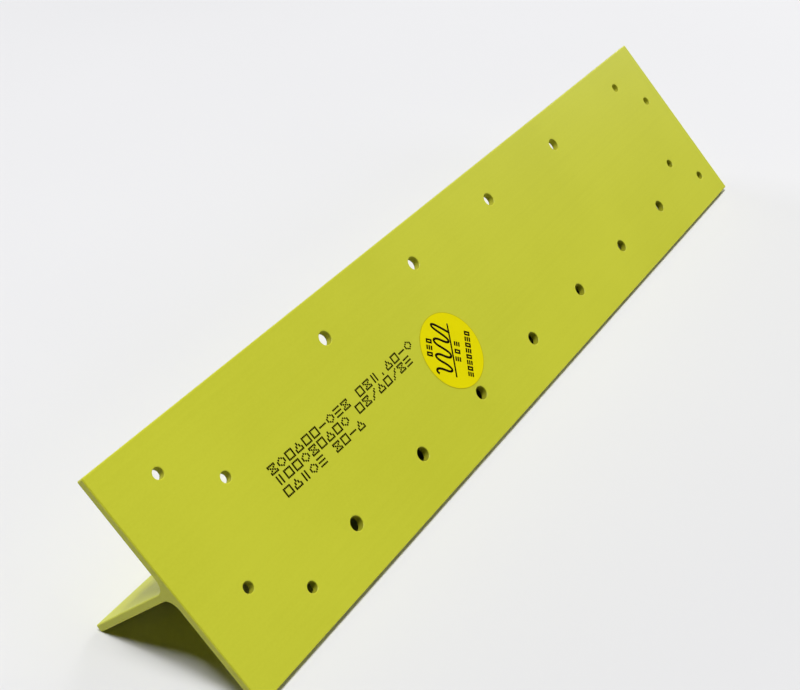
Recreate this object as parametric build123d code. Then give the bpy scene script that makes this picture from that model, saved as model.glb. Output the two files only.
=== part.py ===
from build123d import *
import os
from math import atan2, degrees

# Structural stiffener: one length of extruded aluminium tee, drilled through its flange.
# It is drawn with X along its length from the near end, the stem's middle plane on Y = 0,
# and the flange's flat outer face on Z = 0 with the stem below it. It is then turned about X
# and set down as it lies on a table, on its stem's free edge and one edge of its flange.

# Extruded section
length = 457.2
upper_reach = 51.3  # from the stem's middle plane to the flange edge that stands up
lower_reach = 52.0  # from the stem's middle plane to the flange edge that it lies on
flange_thickness = 4.0
stem_thickness = 3.4
section_depth = 60.3  # from the flange's outer face to the stem's free edge
root_fillet = 5.5
corner_radius = 0.5  # on the free corners of the section
end_break = 0.4  # chamfer round both cut ends

# Small holes at the ends, in staggered columns, in rows at equal distances from the stem
end_hole_diameter = 4.8
inner_row_offset = 18.0
outer_row_offset = 35.5
near_outside_column = 25.9  # from the near end
near_inside_column = 48.1
far_outside_column = 16.4  # from the far end
far_inside_column = 35.1

# Large holes in a row on each side of the stem, both rows with the same middle
row_hole_diameter = 6.4
rows_past_middle = 7.4  # from the middle of the length to the rows' middle
upper_row_offset = 33.7  # from the stem's middle plane
upper_row_pitch = 70.5
upper_row_count = 4
lower_row_offset = 30.9
lower_row_pitch = 50.8
lower_row_count = 7

hole_break = 0.25  # chamfer on both rims of every hole

# Round paper label stuck on the outer face
label_diameter = 37.0
label_thickness = 0.1
label_before_middle = 42.2  # from the middle of the length towards the near end
label_offset = 7.5  # from the stem's middle plane towards the lower edge

drill_overrun = 1.0
rows_middle = length / 2 + rows_past_middle


def tee_section():
    """The tee in the YZ plane: filleted where the stem meets the flange, round at each corner."""
    flange_width = upper_reach + lower_reach
    flange_middle = (upper_reach - lower_reach) / 2
    flange = Pos(flange_middle, -flange_thickness / 2) * Rectangle(flange_width, flange_thickness)
    stem = Pos(0, -section_depth / 2) * Rectangle(stem_thickness, section_depth)
    tee = flange + stem
    stem_end, inner_face = tee.vertices().group_by(Axis.Y)[:2]
    roots = inner_face.sort_by(lambda corner: abs(corner.X))[:2]
    flange_corners = tee.vertices().group_by(Axis.X)
    free_corners = stem_end + flange_corners[0] + flange_corners[-1]
    tee = fillet(roots, root_fillet)
    tee = fillet([tee.vertices().sort_by_distance(corner)[0] for corner in free_corners], corner_radius)
    return Plane.YZ * tee


def extruded_bar():
    """The section drawn out to its length, with the sharp edge of each saw cut taken off."""
    bar = extrude(tee_section(), length)
    end_faces = bar.faces().filter_by(Axis.X)
    return chamfer(end_faces.edges(), end_break)


def row_places(pitch, count, offset):
    """Places of a row of evenly spaced holes, centred on the rows' middle."""
    first = rows_middle - pitch * (count - 1) / 2
    return [(first + pitch * number, offset) for number in range(count)]


def end_places(first_column, second_column):
    """Four staggered places: outer and inner rows swap columns on the two sides of the stem."""
    return [
        (first_column, outer_row_offset),
        (second_column, inner_row_offset),
        (first_column, -inner_row_offset),
        (second_column, -outer_row_offset),
    ]


def hole_places():
    """Every hole's place along X and Y on the flange, as (small holes, large holes)."""
    near_end = end_places(near_outside_column, near_inside_column)
    far_end = end_places(length - far_inside_column, length - far_outside_column)
    upper_row = row_places(upper_row_pitch, upper_row_count, upper_row_offset)
    lower_row = row_places(lower_row_pitch, lower_row_count, -lower_row_offset)
    return near_end + far_end, upper_row + lower_row


def drilled(bar):
    """The bar with its holes drilled square through the flange and their rims broken."""
    small_places, large_places = hole_places()
    drill_length = flange_thickness + 2 * drill_overrun
    for places, diameter in ((small_places, end_hole_diameter), (large_places, row_hole_diameter)):
        drill = Cylinder(diameter / 2, drill_length)
        bar -= [Pos(x, y, -flange_thickness / 2) * drill for x, y in places]
    radii = (end_hole_diameter / 2, row_hole_diameter / 2)
    rims = bar.edges().filter_by(GeomType.CIRCLE).filter_by(
        lambda rim: any(abs(rim.radius - radius) < 0.001 for radius in radii)
    )
    return chamfer(rims, hole_break)


def paper_label():
    """A thin round label lying flat on the outer face."""
    disc = Cylinder(label_diameter / 2, label_thickness, align=(Align.CENTER, Align.CENTER, Align.MIN))
    return Pos(length / 2 - label_before_middle, -label_offset) * disc


def set_down(pieces):
    """Turn the pieces until stem and flange edge are level, and put the box's base on the origin."""
    rise = section_depth - flange_thickness
    run = lower_reach - stem_thickness / 2
    lying = [Rot(X=degrees(atan2(rise, run))) * piece for piece in pieces]
    box = lying[0].bounding_box()
    return [Pos(-box.center().X, -box.center().Y, -box.min.Z) * piece for piece in lying]


names = ("tee_stiffener", "paper_label")
os.makedirs("parts", exist_ok=True)
for name, piece in zip(names, set_down([drilled(extruded_bar()), paper_label()])):
    export_step(piece, f"parts/{name}.step")
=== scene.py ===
import math

import bpy
from mathutils import Matrix, Vector


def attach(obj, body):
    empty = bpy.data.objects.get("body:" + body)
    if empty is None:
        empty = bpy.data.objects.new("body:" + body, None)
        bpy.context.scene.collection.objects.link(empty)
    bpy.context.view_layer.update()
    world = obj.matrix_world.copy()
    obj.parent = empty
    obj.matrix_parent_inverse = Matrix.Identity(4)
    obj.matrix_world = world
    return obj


# A structural stiffener: a length of primed aluminium tee with a round paper label stuck on it.
# Both come from the frame and get their finishes here. The ink-jet marking, the pen strokes and
# the label's print are added as thin films. Sizes of the object are in millimetres, and those of
# the table, lamps and camera are in metres.

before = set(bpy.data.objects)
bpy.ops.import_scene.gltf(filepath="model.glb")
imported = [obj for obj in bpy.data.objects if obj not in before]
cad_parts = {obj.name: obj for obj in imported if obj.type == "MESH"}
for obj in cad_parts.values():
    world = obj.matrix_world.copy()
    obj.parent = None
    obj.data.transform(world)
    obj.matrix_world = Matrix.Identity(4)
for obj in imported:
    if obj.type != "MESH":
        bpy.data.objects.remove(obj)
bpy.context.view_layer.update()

MM = 0.001

# The flange's outer face: its own X runs along the length from the near end, its Y is measured
# from the stem's middle plane towards the edge that stands up, and its Z stands out of the face.
FACE_TILT = math.radians(48.2215)
FACE_PLACE = Vector((-228.6, -5.7274, 41.2368)) * MM
ON_FACE = Matrix.Translation(FACE_PLACE) @ Matrix.Rotation(FACE_TILT, 4, "X")
SQUARE_TO_FACE = (-FACE_TILT, 0, 0)

# The label's top: its middle on the outer face, turned so that X runs along its lines of print
LABEL_PLACE = (186.4, -7.5)
LABEL_RADIUS = 18.5
LABEL_TOP = 0.1
LABEL_PRINT_TURN = math.radians(47)
ON_LABEL = (
    ON_FACE
    @ Matrix.Translation(Vector((*LABEL_PLACE, LABEL_TOP)) * MM)
    @ Matrix.Rotation(LABEL_PRINT_TURN, 4, "Z")
)


# ---- shader nodes


class Signal:
    """A number, colour or vector on its way through some nodes, which maths can be done on."""

    def __init__(self, nodes, socket):
        self.nodes = nodes
        self.socket = socket

    def maths(self, operation, first, second):
        return self.nodes.node("Math", {"operation": operation}, {0: first, 1: second})

    def __add__(self, other):
        return self.maths("ADD", self, other)

    def __radd__(self, other):
        return self.maths("ADD", other, self)

    def __rsub__(self, other):
        return self.maths("SUBTRACT", other, self)

    def __mul__(self, other):
        return self.maths("MULTIPLY", self, other)

    def __rmul__(self, other):
        return self.maths("MULTIPLY", other, self)


class Nodes:
    """The shader nodes of one material or of the world."""

    def __init__(self, tree):
        self.tree = tree

    def feed(self, socket, value):
        if isinstance(value, Signal):
            self.tree.links.new(value.socket, socket)
        else:
            socket.default_value = value

    def node(self, kind, settings=None, inputs=None, output=0):
        """Add a shader node: its settings first, then the values or links of its sockets."""
        made = self.tree.nodes.new("ShaderNode" + kind)
        for name, value in (settings or {}).items():
            setattr(made, name, value)
        for name, value in (inputs or {}).items():
            self.feed(made.inputs[name], value)
        return Signal(self, made.outputs[output])


class Finish(Nodes):
    """One material: a Principled surface and the nodes that feed it."""

    def __init__(self, name, **constants):
        self.material = bpy.data.materials.new(name)
        self.material.use_nodes = True
        super().__init__(self.material.node_tree)
        self.surface = self.tree.nodes["Principled BSDF"]
        self.dress(**constants)

    def dress(self, **sockets):
        """Set or link the surface's sockets, named with _ for each space, and give the material."""
        for name, value in sockets.items():
            self.feed(self.surface.inputs[name.replace("_", " ")], value)
        return self.material

    def place(self):
        return self.node("TexCoord", output="Object")

    def turned(self, vector, turn=(0, 0, 0), stretch=(1, 1, 1), shift=(0, 0, 0)):
        changes = {"Vector": vector, "Location": shift, "Rotation": turn, "Scale": stretch}
        return self.node("Mapping", inputs=changes)

    def noise(self, vector, scale, detail=2):
        return self.node("TexNoise", inputs={"Vector": vector, "Scale": scale, "Detail": detail})

    def ramp(self, value, low, high):
        """0 below low, 1 above high and a smooth step between them."""
        limits = {"Value": value, "From Min": low, "From Max": high}
        return self.node("MapRange", {"interpolation_type": "SMOOTHSTEP"}, limits)

    def blend(self, amount, first, second):
        """The first colour, or the second where the amount is 1."""
        colours = {0: amount, 6: first, 7: second}
        return self.node("Mix", {"data_type": "RGBA"}, colours, output=2)

    def bump(self, height, depth):
        """A relief whose highest point stands `depth` millimetres above its lowest."""
        return self.node("Bump", inputs={"Height": height, "Distance": depth * MM})

    def measure(self, operation, *vectors):
        """A number that one or two vectors give, such as a distance."""
        sockets = dict(enumerate(vectors))
        return self.node("VectorMath", {"operation": operation}, sockets, output="Value")


# ---- finishes

# The drilled walls lie between these soft limits, in the outer face's own X, Y and Z
WALLS_NEAR_END = (1.5, 2)
WALLS_FAR_END = (455, 455.5)
WALLS_LOWER_EDGE = (-51.5, -51)
WALLS_UPPER_EDGE = (49, 49.5)
WALLS_BACK = (-4.15, -4.05)
WALL_SLANT = (0.3, 0.5)  # how far a normal may turn towards the outer face's on a wall

PRIMER_DEEP = (0.535, 0.553, 0.024, 1)
PRIMER_PALE = (0.575, 0.593, 0.030, 1)
# Painted shade: a darker primer colour for the walls of the drilled holes
PAINTED_SHADE_IN_HOLES = (0.17, 0.155, 0.0, 1)

PAPER_DEEP = (0.745, 0.66, 0.002, 1)
PAPER_PALE = (0.795, 0.71, 0.004, 1)
# Painted shade: a darker paper colour along the label's cut edge
PAINTED_EDGE_SHADE = (0.29, 0.26, 0.018, 1)
PAINTED_SHADE_RIM = (0.55, 0.1)  # in from the label's cut edge, where the painted shade begins and is full

JET_INK_DARK = (0.010, 0.009, 0.0, 1)
JET_INK_FADED = (0.08, 0.08, 0.002, 1)
PEN_INK_DARK = (0.006, 0.003, 0.0, 1)
PEN_INK_FADED = (0.03, 0.02, 0.0, 1)

TABLE_DEEP = (0.69, 0.69, 0.706, 1)
TABLE_PALE = (0.724, 0.724, 0.738, 1)
TABLE_FADE = (1.3, 2.4)  # metres from the middle, where the table begins to fade and is gone


def drilled_wall(primer, place):
    """1 on the walls of the drilled holes and 0 on all the rest of the tee."""
    to_face = ON_FACE.inverted().translation
    on_face = primer.turned(place, turn=SQUARE_TO_FACE, shift=to_face)
    along, across, height = (
        primer.node("SeparateXYZ", inputs={"Vector": on_face}, output=axis) for axis in "XYZ"
    )

    def past(distance, limits):
        return primer.ramp(distance, low=limits[0] * MM, high=limits[1] * MM)

    normal = primer.node("NewGeometry", output="Normal")
    out_of_face = ON_FACE.to_3x3() @ Vector((0, 0, 1))
    facing = primer.measure("DOT_PRODUCT", normal, out_of_face)
    slant = primer.node("Math", {"operation": "ABSOLUTE"}, {0: facing})
    upright = 1 - primer.ramp(slant, *WALL_SLANT)
    off_ends = past(along, WALLS_NEAR_END) * (1 - past(along, WALLS_FAR_END))
    off_edges = past(across, WALLS_LOWER_EDGE) * (1 - past(across, WALLS_UPPER_EDGE))
    return upright * past(height, WALLS_BACK) * off_ends * off_edges


def primer_finish():
    """Matt yellow-green primer, sprayed on extruded aluminium, with painted shade and a rougher
    surface on the walls of the drilled holes.
    """
    primer = Finish("yellow_green_primer", Specular_IOR_Level=0.3)
    place = primer.place()
    drawn_out = primer.turned(place, turn=SQUARE_TO_FACE, stretch=(1.5, 160, 160))
    clouds = primer.noise(place, scale=14, detail=3)
    spray = primer.noise(place, scale=900)
    orange_peel = primer.noise(place, scale=320)
    die_lines = primer.noise(drawn_out, scale=4, detail=3)
    tone = 0.55 * clouds + 0.25 * spray + 0.2 * die_lines
    colour = primer.blend(primer.ramp(tone, low=0.3, high=0.7), PRIMER_DEEP, PRIMER_PALE)
    # 1 on the hole walls, where shade is painted into the primer colour and the primer is rougher
    mix_mask = drilled_wall(primer, place)
    relief = 0.6 * orange_peel + 0.25 * spray + 0.15 * die_lines
    return primer.dress(
        # the hole walls get painted shade, a darker primer colour
        Base_Color=primer.blend(0.55 * mix_mask, colour, PAINTED_SHADE_IN_HOLES),
        Roughness=0.4 + 0.1 * spray + 0.4 * mix_mask,
        Normal=primer.bump(relief, depth=0.03),
    )


def label_finish():
    """Bright yellow uncoated paper, with painted shade at its cut edge."""
    paper = Finish("yellow_label_paper", Specular_IOR_Level=0.0)
    place = paper.place()
    fibres = paper.noise(paper.turned(place, stretch=(1, 1, 3)), scale=1400, detail=4)
    clouds = paper.noise(place, scale=90)
    body = paper.blend(0.6 * fibres + 0.4 * clouds, PAPER_DEEP, PAPER_PALE)
    out = paper.measure("DISTANCE", place, ON_LABEL.translation)
    shade_starts, shade_full = (LABEL_RADIUS - rim for rim in PAINTED_SHADE_RIM)
    # a ring of painted shade along the label's cut edge
    edge_shade = paper.ramp(out, low=shade_starts * MM, high=shade_full * MM)
    return paper.dress(
        Base_Color=paper.blend(0.55 * edge_shade, body, PAINTED_EDGE_SHADE),
        Roughness=0.5 + 0.2 * fibres,
        Normal=paper.bump(fibres, depth=0.02),
    )


def ink_finish(name, dark, faded, fading):
    """Dried marking ink that is thinner in places."""
    ink = Finish(name, Specular_IOR_Level=0.02)
    place = ink.place()
    mix_mask = ink.ramp(ink.noise(place, scale=700, detail=3), low=0.45, high=0.75)
    return ink.dress(
        Base_Color=ink.blend(fading * mix_mask, dark, faded),
        Roughness=0.45 + 0.2 * mix_mask,
        Normal=ink.bump(ink.noise(place, scale=2500), depth=0.01),
    )


def table_finish():
    """Pale matt table top that fades into the pale room far from the part."""
    table = Finish("pale_table", Specular_IOR_Level=0.2)
    place = table.place()
    clouds = table.noise(place, scale=2.5)
    out = table.measure("LENGTH", place)
    return table.dress(
        Base_Color=table.blend(clouds, TABLE_DEEP, TABLE_PALE),
        Roughness=0.75 + 0.1 * clouds,
        Alpha=1 - table.ramp(out, *TABLE_FADE),
    )


# ---- work on pieces


def select_only(*pieces):
    """Leave just these pieces selected, and make the last one active."""
    bpy.ops.object.select_all(action="DESELECT")
    for piece in pieces:
        piece.select_set(True)
        bpy.context.view_layer.objects.active = piece


def keep_place(piece):
    """Keep a piece's place, turn and size in its mesh."""
    select_only(piece)
    bpy.ops.object.transform_apply(location=True, rotation=True, scale=True)


def set_in_place(piece, place):
    """Carry a piece that was modelled at the origin to its place, and keep that in its mesh."""
    piece.matrix_world = place
    keep_place(piece)


def copy_at(piece, x, y, lift=0):
    """A copy of the piece, with a mesh of its own, at a place in millimetres."""
    copy = piece.copy()
    copy.data = piece.data.copy()
    copy.location = Vector((x, y, lift)) * MM
    bpy.context.collection.objects.link(copy)
    return copy


def joined(pieces, name):
    select_only(*pieces)
    bpy.ops.object.join()
    piece = bpy.context.view_layer.objects.active
    piece.name = name
    piece.data.name = name
    return piece


def turn_faces_outwards():
    """Make the normals of the mesh in edit mode point out of it."""
    bpy.ops.mesh.select_all(action="SELECT")
    bpy.ops.mesh.normals_make_consistent(inside=False)


def finished(piece, material):
    piece.data.materials.clear()
    piece.data.materials.append(material)
    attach(piece, "root")


# ---- ink-jet marking

# Rows of plain figures, each on a grid of five dots across and seven up
DOT_FIGURES = {
    "box": ("#####", "#...#", "#...#", "#...#", "#...#", "#...#", "#####"),
    "lozenge": ("..#..", ".#.#.", "#...#", "#...#", "#...#", ".#.#.", "..#.."),
    "peak": ("..#..", "..#..", ".#.#.", ".#.#.", "#...#", "#...#", "#####"),
    "glass": ("#####", "#...#", ".#.#.", "..#..", ".#.#.", "#...#", "#####"),
    "shelves": ("#####", ".....", ".....", "#####", ".....", ".....", "#####"),
    "posts": (".#.#.", ".#.#.", ".#.#.", ".#.#.", ".#.#.", ".#.#.", ".#.#."),
    "dash": (".....", ".....", ".....", "#####", ".....", ".....", "....."),
    "slant": ("....#", "...#.", "...#.", "..#..", ".#...", ".#...", "#...."),
    "point": (".....", ".....", ".....", ".....", ".....", "..#..", "..#.."),
    "gap": (".....", ".....", ".....", ".....", ".....", ".....", "....."),
}
GRID_TOP = 6  # the highest of the seven dots, counted from 0
# Each row: its left end and its foot on the outer face, and its figures
MARKING_ROWS = (
    (65.6, 5.6, "glass lozenge box peak box box dash lozenge shelves glass gap "
                "box glass posts point peak box dash lozenge"),
    (65.4, 0.55, "posts box box lozenge glass box peak box lozenge gap "
                 "box glass slant peak box slant glass shelves"),
    (65.3, -4.9, "box peak posts lozenge shelves gap glass box dash peak"),
)
MARKING_PITCH = 5.47
MARKING_SAG = 0.00028  # the rows were sprayed by hand, and dip in their middle
SAG_MIDDLE = 122
DOT_ACROSS = 0.9
DOT_UP = 0.56
DOT_RADIUS = 0.45
DOT_SIDES = 12
DOT_THICKNESS = 0.04
DOT_RIM = 0.08
DOT_CROWN = 0.01
DOT_LIFT = 0.01  # neighbours are lifted by one or by two of these, so that their tops differ
FACING_UP = 0.9  # the least Z of a normal on a dot's top


def ink_dot():
    """One dried drop: a low disc whose top falls away at its rim."""
    select_only()
    bpy.ops.mesh.primitive_cylinder_add(
        vertices=DOT_SIDES, radius=DOT_RADIUS * MM, depth=DOT_THICKNESS * MM
    )
    drop = bpy.context.object
    bpy.ops.object.mode_set(mode="EDIT")
    bpy.ops.mesh.select_all(action="DESELECT")
    bpy.ops.object.mode_set(mode="OBJECT")
    for face in drop.data.polygons:
        face.select = face.normal.z > FACING_UP
    bpy.ops.object.mode_set(mode="EDIT")
    bpy.ops.mesh.inset(thickness=DOT_RIM * MM)
    bpy.ops.transform.translate(value=(0, 0, DOT_CROWN * MM))
    bpy.ops.object.mode_set(mode="OBJECT")
    return drop


def dot_places():
    """Each dot's place on the outer face and its lift, row by row."""
    for left, foot, figures in MARKING_ROWS:
        for number, figure in enumerate(figures.split()):
            for down, line in enumerate(DOT_FIGURES[figure]):
                for across, mark in enumerate(line):
                    if mark == "#":
                        x = left + number * MARKING_PITCH + across * DOT_ACROSS
                        sag = (x - SAG_MIDDLE) ** 2 * MARKING_SAG
                        y = foot + sag + (GRID_TOP - down) * DOT_UP
                        yield x, y, DOT_LIFT * (1 + (across + down) % 2)


def jet_marking():
    """Three rows of dots sprayed on the outer face."""
    drop = ink_dot()
    drops = [copy_at(drop, *place) for place in dot_places()]
    bpy.data.objects.remove(drop)
    marking = joined(drops, "jet_marking")
    keep_place(marking)
    set_in_place(marking, ON_FACE)
    return marking


# ---- pen strokes on the label

# Points from the label's middle, along and up from its line of print
PEN_WAVE = (
    (-13.0, 8.6), (-12.4, 10.2), (-10.6, 9.6), (-10.4, 6.6), (-11.2, 2.2), (-9.8, 0.6),
    (-7.8, 3.4), (-6.4, 8.4), (-4.6, 10.4), (-3.2, 8.2), (-4.2, 3.4), (-3.8, 0.8),
    (-1.8, 1.2), (-0.2, 5.0), (1.2, 9.4), (3.2, 10.8), (4.2, 8.4), (3.2, 3.6),
    (3.6, 1.4), (5.4, 2.2), (7.4, 6.8), (9.2, 11.0), (11.0, 11.2), (10.4, 7.0), (8.4, 0.6),
)
PEN_RULE = ((-13.1, -1.1), (-5.0, -0.4), (4.0, 0.5), (12.9, 1.6))
WAVE_WIDTH = 1.2
RULE_WIDTH = 0.9
PEN_FLATNESS = 0.06  # a stroke's thickness as a share of its width
SAME_POINT = 0.0001


def pen_stroke(points, width, name):
    """A felt-pen line: a smooth tube along the points, pressed flat on the paper."""
    select_only()
    bpy.ops.curve.primitive_nurbs_path_add()
    stroke = bpy.context.object
    stroke.data.splines.clear()
    line = stroke.data.splines.new("NURBS")
    line.points.add(len(points) - 1)
    for point, (x, y) in zip(line.points, points):
        point.co = (x * MM, y * MM, 0, 1)
    line.order_u = 3
    line.use_endpoint_u = True
    line.resolution_u = 8
    stroke.data.bevel_depth = width / 2 * MM
    stroke.data.bevel_resolution = 2
    stroke.data.use_fill_caps = True
    select_only(stroke)
    bpy.ops.object.convert(target="MESH")
    stroke = bpy.context.object
    bpy.ops.object.mode_set(mode="EDIT")
    bpy.ops.mesh.select_all(action="SELECT")
    bpy.ops.mesh.remove_doubles(threshold=SAME_POINT * MM)
    turn_faces_outwards()
    bpy.ops.object.mode_set(mode="OBJECT")
    stroke.scale = (1, 1, PEN_FLATNESS)
    keep_place(stroke)
    stroke.name = name
    return stroke


def pen_marks():
    """A wavy line and the ruled line under it."""
    wave = pen_stroke(PEN_WAVE, WAVE_WIDTH, "pen_wave")
    rule = pen_stroke(PEN_RULE, RULE_WIDTH, "pen_rule")
    marks = joined([wave, rule], "pen_marks")
    set_in_place(marks, ON_LABEL)
    return marks


# ---- small printed figures on the label

PRINT_HEIGHT = 3.3
PRINT_WIDTH = 2.2
PRINT_STROKE = 0.84
PRINT_FILM = 0.03
# Each row: its left end and its foot from the label's middle, its pitch, and its figures
PRINT_ROWS = (
    (-5.6, 11.6, 3.2, "frame bars frame"),
    (-4.9, -4.7, 3.75, "bars frame bars"),
    (-11.1, -11.4, 2.9, "bars frame bars frame bars frame bars frame"),
)


def printed_field(height):
    """A flat field as wide as a figure, with its middle at the origin."""
    select_only()
    bpy.ops.mesh.primitive_plane_add(size=1)
    field = bpy.context.object
    field.scale = (PRINT_WIDTH * MM, height * MM, 1)
    return field


def printed_frame():
    """An open box."""
    figure = printed_field(PRINT_HEIGHT)
    keep_place(figure)
    bpy.ops.object.mode_set(mode="EDIT")
    bpy.ops.mesh.select_all(action="SELECT")
    bpy.ops.mesh.inset(thickness=PRINT_STROKE * MM)
    bpy.ops.mesh.delete(type="FACE")
    bpy.ops.object.mode_set(mode="OBJECT")
    return figure


def printed_bars():
    """Three level bars above each other."""
    bars = []
    for level in (-1, 0, 1):
        bar = printed_field(PRINT_STROKE)
        bar.location.y = level * (PRINT_HEIGHT - PRINT_STROKE) / 2 * MM
        keep_place(bar)
        bars.append(bar)
    return joined(bars, "printed_bars")


def label_print():
    """Rows of small printed figures, drawn out to a film with real thickness."""
    figures = {"frame": printed_frame(), "bars": printed_bars()}
    copies = []
    for left, foot, pitch, row in PRINT_ROWS:
        for number, kind in enumerate(row.split()):
            x = left + PRINT_WIDTH / 2 + number * pitch
            copies.append(copy_at(figures[kind], x, foot + PRINT_HEIGHT / 2))
    for figure in figures.values():
        bpy.data.objects.remove(figure)
    film = joined(copies, "label_print")
    keep_place(film)
    thicken = film.modifiers.new("thickness", "SOLIDIFY")
    thicken.thickness = PRINT_FILM * MM
    thicken.offset = 1
    bpy.ops.object.modifier_apply(modifier=thicken.name)
    bpy.ops.object.mode_set(mode="EDIT")
    turn_faces_outwards()
    bpy.ops.object.mode_set(mode="OBJECT")
    set_in_place(film, ON_LABEL)
    return film


# ---- the dressed part


def dress_node(name, material):
    """Give a CAD piece its finish in place of the plain one that it comes with."""
    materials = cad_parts[name].data.materials
    materials.clear()
    materials.append(material)


dress_node("tee_stiffener", primer_finish())
dress_node("paper_label", label_finish())

jet_ink = ink_finish("jet_ink", JET_INK_DARK, JET_INK_FADED, fading=0.5)
pen_ink = ink_finish("pen_ink", PEN_INK_DARK, PEN_INK_FADED, fading=0.4)

finished(jet_marking(), jet_ink)
finished(pen_marks(), pen_ink)
finished(label_print(), pen_ink)


# ---- table, light and camera

TABLE_SIZE = 12

# Each softbox: its name, its place, its aim, its width, its depth and its power in watts
LAMPS = (
    ("key_softbox", (-0.36, 0, 4.0), (-0.36, 0, 0), 0.55, 1.2, 45),
    ("key_spill", (-0.5, 0, 4.0), (-0.5, 0, 0), 1.5, 1.2, 112),
    ("far_end_softbox", (3.2, 0, 1.2), (0, 0, 0), 1.5, 1.0, 52),
    ("front_softbox", (0.5, -3.2, 1.6), (0, 0, 0), 1.5, 1.0, 13),
    ("back_softbox", (-0.3, 3.2, 0.75), (-0.15, 0, 0), 1.5, 1.0, 40),
)

# Brightness of the pale room: as light on the part, in its gloss, and as the camera sees it
ROOM_LIGHT = 0.005
ROOM_IN_GLOSS = 0.1
ROOM_SEEN = 0.84
WHITE = (1, 1, 1, 1)

CAMERA_PLACE = (-0.46298, -0.26769, 0.36277)
CAMERA_TURN = (56.301, 3.037, -57.764)  # degrees
CAMERA_LENS = 59.072
CAMERA_SENSOR = 36
CAMERA_SHIFT = (0.002625, 0.012238)
CAMERA_REACH = (0.01, 50)


def table_top():
    """The pale surface that the part lies on."""
    select_only()
    bpy.ops.mesh.primitive_plane_add(size=TABLE_SIZE)
    table = bpy.context.object
    table.name = "table_top"
    table.data.materials.append(table_finish())
    return table


def soft_lamp(name, place, aim, width, depth, power):
    """A softbox that shines from its place towards its aim."""
    bpy.ops.object.light_add(type="AREA", location=place)
    lamp = bpy.context.object
    lamp.name = name
    lamp.data.shape = "RECTANGLE"
    lamp.data.size = width
    lamp.data.size_y = depth
    lamp.data.energy = power
    lamp.rotation_euler = (Vector(aim) - Vector(place)).to_track_quat("-Z", "Y").to_euler()


def pale_room():
    """An even white room, bright behind the part and nearly dark as a light on it."""
    world = bpy.data.worlds.new("pale_room")
    world.use_nodes = True
    room = Nodes(world.node_tree)
    in_gloss = room.node("LightPath", output="Is Glossy Ray")
    seen = room.node("LightPath", output="Is Camera Ray")
    gloss_share = (ROOM_IN_GLOSS - ROOM_LIGHT) * in_gloss
    seen_share = (ROOM_SEEN - ROOM_LIGHT) * seen
    background = room.tree.nodes["Background"]
    room.feed(background.inputs["Color"], WHITE)
    room.feed(background.inputs["Strength"], ROOM_LIGHT + gloss_share + seen_share)
    return world


def photo_camera():
    """The camera at the photograph's place, with the photograph's framing."""
    bpy.ops.object.camera_add(location=CAMERA_PLACE)
    camera = bpy.context.object
    camera.name = "camera"
    camera.rotation_euler = [math.radians(turn) for turn in CAMERA_TURN]
    camera.data.lens = CAMERA_LENS
    camera.data.sensor_width = CAMERA_SENSOR
    camera.data.shift_x, camera.data.shift_y = CAMERA_SHIFT
    camera.data.clip_start, camera.data.clip_end = CAMERA_REACH
    return camera


table = table_top()
for lamp in LAMPS:
    soft_lamp(*lamp)
bpy.context.scene.world = pale_room()
bpy.context.scene.camera = photo_camera()

bpy.context.scene.view_settings.view_transform = "Standard"
